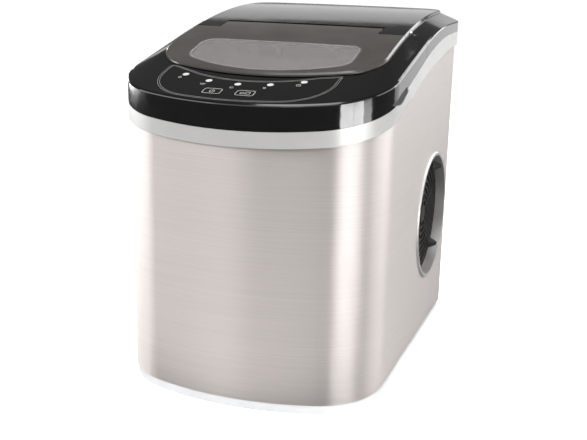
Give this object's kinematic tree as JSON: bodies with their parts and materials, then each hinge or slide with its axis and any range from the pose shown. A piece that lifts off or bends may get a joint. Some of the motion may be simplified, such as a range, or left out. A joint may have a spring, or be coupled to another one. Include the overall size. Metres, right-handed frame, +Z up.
{
  "type": "portable ice maker",
  "caption": "Countertop ice maker: steel-wrapped body, sloping black top with hinged windowed lid, lamp-and-key panel and round side vent.",
  "frame": {"origin": "centre of the overall box at the feet's underside", "axes": "+Z up, -Y towards the control panel at the front, +X towards the side with the round vent"},
  "size_m": [0.241, 0.358, 0.328],
  "materials": {
    "steel": "fine horizontal brushing",
    "black_gloss": "polished",
    "smoke_lid": "polished dark grey",
    "smoke_clear": "smoke-tinted clear plastic",
    "silver_trim": "satin silver",
    "silver_plastic": "satin",
    "chrome": "plated",
    "black_plastic": "fine grain",
    "overlay_black": "smooth film",
    "lamp": "frosted",
    "white_plastic": "moulded",
    "clear_basket": "translucent",
    "rubber": "matt",
    "hose": "silicone",
    "foam": "closed-cell foam",
    "galvanised": "galvanised sheet",
    "nickel": "nickel plated",
    "copper": "drawn tube",
    "fin_aluminium": "thin sheet",
    "compressor_black": "gloss enamel",
    "zinc": "zinc plated",
    "board_green": "solder mask",
    "component": "moulded cases",
    "brass_body": "machined"
  },
  "bodies": {
    "casing": {"steel_wrap": "steel", "rear_panel": "galvanised", "trim_band": "silver_trim", "base_pan": "silver_plastic", "feet": "rubber", "top_frame": "black_gloss", "rear_cover": "black_gloss", "hinge_pins": "zinc", "lid_bumpers": "rubber", "control_overlay": "overlay_black", "lamp_lenses": "lamp", "control_board": "board_green", "board_components": "component", "screws": "zinc", "cord_gland": "black_plastic", "drain_spout": "white_plastic", "drain_hose": "hose", "side_vent_ring": "chrome", "fan_guard": "black_plastic", "fan_motor": "black_plastic", "fan_bracket": "galvanised", "fan_shroud": "galvanised", "condenser_fins": "fin_aluminium", "condenser_tube": "copper", "compressor": "compressor_black", "compressor_plate": "zinc", "compressor_mounts": "rubber", "compressor_relay": "black_plastic", "hot_gas_pipes": "copper", "liquid_pipe": "copper", "filter_drier": "copper", "capillary_tube": "copper", "evaporator_inlet": "copper", "suction_pipe": "copper", "hot_gas_valve": "brass_body", "inner_liner": "white_plastic", "tank_insulation": "foam", "partition_panel": "galvanised", "evaporator": "nickel", "tray_bushes": "white_plastic", "tray_motor": "black_plastic", "ice_full_sensors": "black_plastic", "level_sensor": "white_plastic", "water_pump": "black_plastic", "suction_hose": "hose", "water_hose": "hose", "control_box": "black_plastic", "main_board": "board_green"},
    "lid": {"lid": "smoke_lid", "lid_window": "smoke_clear"},
    "power_key": {"power_button": "black_gloss"},
    "select_key": {"select_button": "black_gloss"},
    "fan": {"fan_blades": "black_plastic", "fan_shaft": "zinc"},
    "tray": {"water_tray": "white_plastic", "tray_shaft": "zinc"},
    "pusher": {"ice_pusher": "white_plastic"},
    "basket": {"ice_basket": "clear_basket"},
    "plug": {"drain_plug": "rubber"}
  },
  "joints": [
    {"name": "lid_hinge", "type": "hinge", "parent": "casing", "child": "lid", "pos_m": [0, 0.0015, 0.3134], "axis": [-1, 0, 0], "range_deg": [0, 96]},
    {"name": "power_press", "type": "slide", "parent": "casing", "child": "power_key", "axis": [0, 0.2536, -0.9673], "range_m": [0, 0.0006], "stiffness_N_per_m": 2000, "springref_m": -0.0002},
    {"name": "select_press", "type": "slide", "parent": "casing", "child": "select_key", "axis": [0, 0.2536, -0.9673], "range_m": [0, 0.0006], "stiffness_N_per_m": 2000, "springref_m": -0.0002},
    {"name": "fan_spin", "type": "hinge", "parent": "casing", "child": "fan", "pos_m": [0.095, 0.0705, 0.1275], "axis": [1, 0, 0], "continuous": true},
    {"name": "tray_tilt", "type": "hinge", "parent": "casing", "child": "tray", "pos_m": [0, 0.019, 0.256], "axis": [1, 0, 0], "range_deg": [0, 50]},
    {"name": "pusher_swing", "type": "hinge", "parent": "casing", "child": "pusher", "pos_m": [0, -0.02, 0.284], "axis": [1, 0, 0], "range_deg": [-60, 0]},
    {"name": "basket_lift", "type": "slide", "parent": "casing", "child": "basket", "axis": [0, 0, 1], "range_m": [0, 0.015]},
    {"name": "plug_pull", "type": "slide", "parent": "casing", "child": "plug", "axis": [0, 1, 0], "range_m": [0, 0.014]}
  ],
  "couplings": [
    {"joint": "pusher_swing", "follows": "tray_tilt", "ratio": -1.2}
  ]
}
